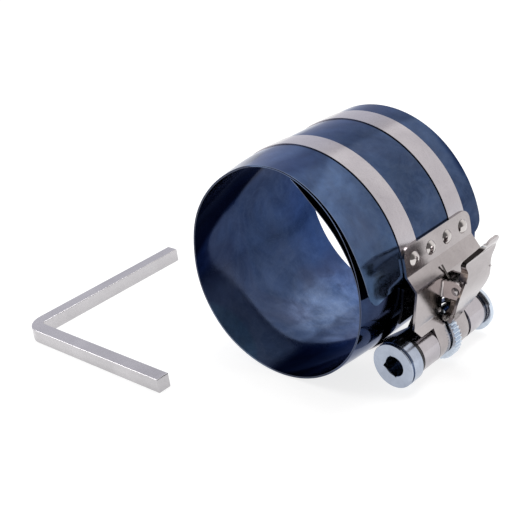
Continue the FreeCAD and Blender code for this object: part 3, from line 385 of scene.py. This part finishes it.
def hermite(table, u):
    """Smooth interpolation through (u, value) pairs, with limited slopes."""
    n = len(table)
    if u <= table[0][0]:
        return table[0][1]
    if u >= table[-1][0]:
        return table[-1][1]
    k = 0
    while table[k + 1][0] < u:
        k += 1

    def sec(i):
        return (table[i + 1][1] - table[i][1]) / (table[i + 1][0] - table[i][0])

    def slope(i):
        if i == 0 or i == n - 1:
            return 0.0
        a, b = sec(i - 1), sec(i)
        if a * b <= 0:
            return 0.0
        return 2 * a * b / (a + b)
    h = table[k + 1][0] - table[k][0]
    t = (u - table[k][0]) / h
    m0, m1 = slope(k), slope(k + 1)
    return ((2 * t ** 3 - 3 * t * t + 1) * table[k][1] + (t ** 3 - 2 * t * t + t) * h * m0
            + (-2 * t ** 3 + 3 * t * t) * table[k + 1][1] + (t ** 3 - t * t) * h * m1)


U0, U1 = -3.0, 789.0
BODY = [(-3, 47.175), (60, 47.175), (300, 47.175), (312, 46.95), (322, 46.42), (335, 46.08), (350, 45.70),
        (366, 45.50), (385, 45.75), (405, 46.25), (430, 46.6), (455, 46.62), (660, 46.62), (672, 46.38), (682, 45.92),
        (695, 45.58), (710, 45.22), (726, 45.0), (745, 44.85), (760, 44.75), (769, 44.85), (776, 45.2), (783, 45.72), (789, 46.12)]
# free near rim: slightly oval, opened at the overlap
NEAR = [(-3, 50.9), (3, 50.3), (8, 49.7), (12, 49.45), (16, 49.3), (20, 49.05), (24, 48.95), (28, 49.1), (34, 49.3),
        (41, 49.55), (47, 49.8), (54, 50.0), (69, 50.0), (84, 48.8), (100, 46.7),
        (115, 44.7), (138, 43.75), (152, 44.0), (163, 44.25), (171, 44.45), (179, 44.8), (188, 45.9), (210, 47.8),
        (228, 48.6), (249, 47.8), (268, 46.9), (288, 46.15), (306, 45.8), (322, 45.85), (332, 45.9),
        (344, 45.8), (354, 45.6), (367, 45.9), (376, 46.2), (384, 46.5), (391, 47.1), (398, 47.65), (404, 48.15),
        (411, 48.62), (419, 48.95), (429, 49.3), (436, 49.0), (444, 48.34), (460, 46.25), (475, 44.25), (498, 43.31),
        (512, 43.56), (523, 43.81), (531, 44.01), (539, 44.36), (548, 45.45), (570, 47.35), (588, 48.15), (609, 47.35),
        (628, 46.46), (648, 45.71), (666, 45.36), (682, 45.4), (692, 45.42), (704, 45.3), (714, 45.12), (727, 45.25),
        (736, 45.05), (744, 44.75), (752, 44.6), (762, 44.6), (770, 44.85), (776, 45.45), (782, 46.7), (786, 47.7), (789, 48.45)]
FAR = [(-3, 47.6), (8, 47.35), (20, 47.0), (36, 46.8), (60, 47.0), (90, 47.1), (120, 47.175), (300, 47.175),
       (312, 46.9), (322, 46.4), (335, 45.8), (350, 44.95), (366, 44.75), (385, 45.1), (405, 45.7), (430, 46.2), (455, 46.5),
       (480, 46.62), (660, 46.62), (672, 46.36), (682, 45.92), (695, 45.3), (710, 44.5), (726, 44.3), (745, 44.4),
       (760, 44.55), (776, 45.0), (789, 45.7)]
CORNER_R = 6.5           # rounded corners of the sheet's outer end


def even(table, s=6.0):
    """The table's curve at every degree, with the small waves evened out."""
    n = int(U1 - U0)
    raw = [hermite(table, U0 + i) for i in range(n + 1)]
    res = []
    for i in range(n + 1):
        h = int(min(3 * s, i, n - i))
        # the sheet's inner end keeps its shape
        if i > n - 130:
            h = min(h, 3)
        ws = [math.exp(-0.5 * (d / s) ** 2) for d in range(-h, h + 1)]
        res.append(sum(w * raw[i + d] for w, d in zip(ws, range(-h, h + 1))) / sum(ws))
    return res


BODY_E, NEAR_E, FAR_E = even(BODY), even(NEAR), even(FAR)


def at(res, u):
    """Cubic through the four nearest degrees."""
    x = min(max(u - U0, 0.0), len(res) - 1.000001)
    i = int(x)
    t = x - i
    p1, p2 = res[i], res[i + 1]
    p0 = res[i - 1] if i > 0 else 2 * p1 - p2
    p3 = res[i + 2] if i + 2 < len(res) else 2 * p2 - p1
    return p1 + 0.5 * t * (p2 - p0 + t * (2 * p0 - 5 * p1 + 4 * p2 - p3 + t * (3 * (p1 - p2) + p3 - p0)))


def sleeve_r(u, y):
    rb = at(BODY_E, u)
    if y < 24.0:
        w = (1.0 - y / 24.0) ** 1.55
        return rb + w * (at(NEAR_E, u) - rb)
    if y > 70.0:
        w = ((y - 70.0) / 10.0) ** 1.5
        return rb + w * (at(FAR_E, u) - rb)
    return rb


def sleeve_pt(u, y, off):
    e = 0.25
    r = sleeve_r(u, y)
    dr = (sleeve_r(min(U1, u + e), y) - sleeve_r(max(U0, u - e), y)) / rad(min(U1, u + e) - max(U0, u - e))
    a = rad(u)
    tx, tz = dr * math.cos(a) - r * math.sin(a), dr * math.sin(a) + r * math.cos(a)
    L = math.hypot(tx, tz)
    nx, nz = tz / L, -tx / L
    return ((OX + r * math.cos(a) + nx * off) * MM, (OY + y) * MM, (ZC + r * math.sin(a) + nz * off) * MM)


def fine_sleeve():
    ys = [0.0, 0.35, 0.8, 1.4, 2.1, 3.0, 4.0, 5.2, 6.5]
    ys += [6.5 + (SLEEVE_LEN - 13.0) * k / 26.0 for k in range(1, 27)]
    ys += [SLEEVE_LEN - d for d in (5.2, 4.0, 3.0, 2.1, 1.4, 0.8, 0.35, 0.0)]
    n = 700
    grid = {}
    bm = bmesh.new()

    def start(y):
        # rounded corners of the sheet's outer end
        d = min(y, SLEEVE_LEN - y)
        if d >= CORNER_R:
            return U0
        s = CORNER_R - math.sqrt(max(0.0, CORNER_R ** 2 - (CORNER_R - d) ** 2))
        return U0 + math.degrees(s / R_SLEEVE)

    cols = [(k / float(n)) for k in range(n + 1)]
    for j, y in enumerate(ys):
        u0 = start(y)
        for i, t in enumerate(cols):
            # the shift dies out within 14 degrees of the end
            u = U0 + (U1 - U0) * t
            w = max(0.0, 1.0 - (u - U0) / 24.0)
            u = u + (u0 - U0) * w * w
            for k, off in enumerate((SHEET_T / 2.0, -SHEET_T / 2.0)):
                grid[(k, i, j)] = bm.verts.new(sleeve_pt(u, y, off))
    I, J = n, len(ys) - 1
    for i in range(I):
        for j in range(J):
            bm.faces.new((grid[(0, i, j)], grid[(0, i, j + 1)], grid[(0, i + 1, j + 1)], grid[(0, i + 1, j)]))
            bm.faces.new((grid[(1, i, j)], grid[(1, i + 1, j)], grid[(1, i + 1, j + 1)], grid[(1, i, j + 1)]))
        bm.faces.new((grid[(0, i, 0)], grid[(0, i + 1, 0)], grid[(1, i + 1, 0)], grid[(1, i, 0)]))
        bm.faces.new((grid[(0, i, J)], grid[(1, i, J)], grid[(1, i + 1, J)], grid[(0, i + 1, J)]))
    for j in range(J):
        bm.faces.new((grid[(0, 0, j)], grid[(1, 0, j)], grid[(1, 0, j + 1)], grid[(0, 0, j + 1)]))
        bm.faces.new((grid[(0, I, j)], grid[(0, I, j + 1)], grid[(1, I, j + 1)], grid[(1, I, j)]))
    bm.normal_update()
    me = bpy.data.meshes.new("sleeve_sheet")
    # broad sides shade smoothly, the sheared rims stay crisp
    for f in bm.faces:
        f.smooth = True
    for e in bm.edges:
        if len(e.link_faces) == 2 and e.link_faces[0].normal.angle(e.link_faces[1].normal, 0.0) > 0.6:
            e.smooth = False
    bm.to_mesh(me)
    bm.free()
    o = bpy.data.objects.new("sleeve_sheet", me)
    sc.collection.objects.link(o)
    me.materials.append(MAT["blued_steel"])
    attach(o, "clamp")
    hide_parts("sleeve")
    return o


sheet = fine_sleeve()


# ------------------------------------------------------------------ stage
def stage_floor():
    bpy.ops.mesh.primitive_plane_add(size=6.0, location=(0, 0, 0))
    f = bpy.context.object
    f.name = "stage_floor"
    k = NT("stage_floor")
    k.set('Base Color', (0.34, 0.34, 0.34, 1))
    k.set('Roughness', 0.9)
    k.set('Specular IOR Level', 0.0)
    k.set('Emission Color', (1, 1, 1, 1))
    k.set('Emission Strength', 0.80)
    f.data.materials.append(k.m)


stage_floor()


def studio():
    """Soft white surroundings: a broad light overhead on the right, a dim gap,
    a weaker cool side on the left, and a dim side in front."""
    w = bpy.data.worlds.new("studio")
    sc.world = w
    w.use_nodes = True
    t = w.node_tree
    bg = t.nodes["Background"]
    tc = t.nodes.new('ShaderNodeTexCoord')

    def dot(vec):
        d = t.nodes.new('ShaderNodeVectorMath')
        d.operation = 'DOT_PRODUCT'
        t.links.new(tc.outputs['Generated'], d.inputs[0])
        d.inputs[1].default_value = vec
        return d.outputs['Value']

    def ramp(x, a, b, stops):
        m = t.nodes.new('ShaderNodeMapRange')
        m.inputs['From Min'].default_value = a
        m.inputs['From Max'].default_value = b
        t.links.new(x, m.inputs['Value'])
        r = t.nodes.new('ShaderNodeValToRGB')
        el = r.color_ramp.elements
        while len(el) > 1:
            el.remove(el[-1])
        el[0].position, el[0].color = stops[0][0], tuple(stops[0][1]) + (1,)
        for p, c in stops[1:]:
            el.new(p).color = tuple(c) + (1,)
        t.links.new(m.outputs[0], r.inputs[0])
        return r.outputs[0]

    def mix(fac, a, b):
        x = t.nodes.new('ShaderNodeMix')
        x.data_type = 'RGBA'
        for sock, v in ((x.inputs[0], fac), (x.inputs[6], a), (x.inputs[7], b)):
            if hasattr(v, 'is_output'):
                t.links.new(v, sock)
            elif isinstance(v, (int, float)):
                sock.default_value = v
            else:
                sock.default_value = tuple(v) + (1,)
        return x.outputs[2]
    # across the gap between the two lights
    s = dot((-0.675, 0.399, -0.621))
    side = ramp(s, -0.5, 0.5, [(0.0, (1.0, 0.98, 0.97)), (0.46, (1.12, 1.10, 1.09)), (0.545, (1.15, 1.13, 1.12)), (0.60, (0.72, 0.70, 0.72)),
                               (0.67, (0.74, 0.73, 0.77)), (0.78, (0.78, 0.78, 0.84)), (0.90, (0.80, 0.80, 0.88)), (1.0, (0.80, 0.80, 0.88))])
    # the front is dim
    fr = dot((0.62, -0.70, 0.36))
    front = ramp(fr, -1.0, 1.0, [(0.0, (0, 0, 0)), (0.62, (0, 0, 0)), (0.82, (1, 1, 1))])
    c = mix(front, side, (0.16, 0.155, 0.155))
    t.links.new(c, bg.inputs[0])
    bg.inputs[1].default_value = 1.0


studio()


def area(name, loc, aim, size, power, color=(1, 1, 1), size_y=None):
    L = bpy.data.lights.new(name, 'AREA')
    L.energy = power
    L.color = color
    L.size = size
    if size_y:
        L.shape = 'RECTANGLE'
        L.size_y = size_y
    o = bpy.data.objects.new(name, L)
    o.location = loc
    d = Vector(aim) - Vector(loc)
    o.rotation_euler = d.to_track_quat('-Z', 'Y').to_euler()
    sc.collection.objects.link(o)
    return o


area("top_light", (0.10, 0.25, 0.95), (0.03, 0.02, 0.04), 0.5, 5.0)
area("fill_light", (-0.70, -0.35, 0.55), (0.0, 0.0, 0.04), 0.35, 2.0)
sc.view_settings.view_transform = 'Standard'
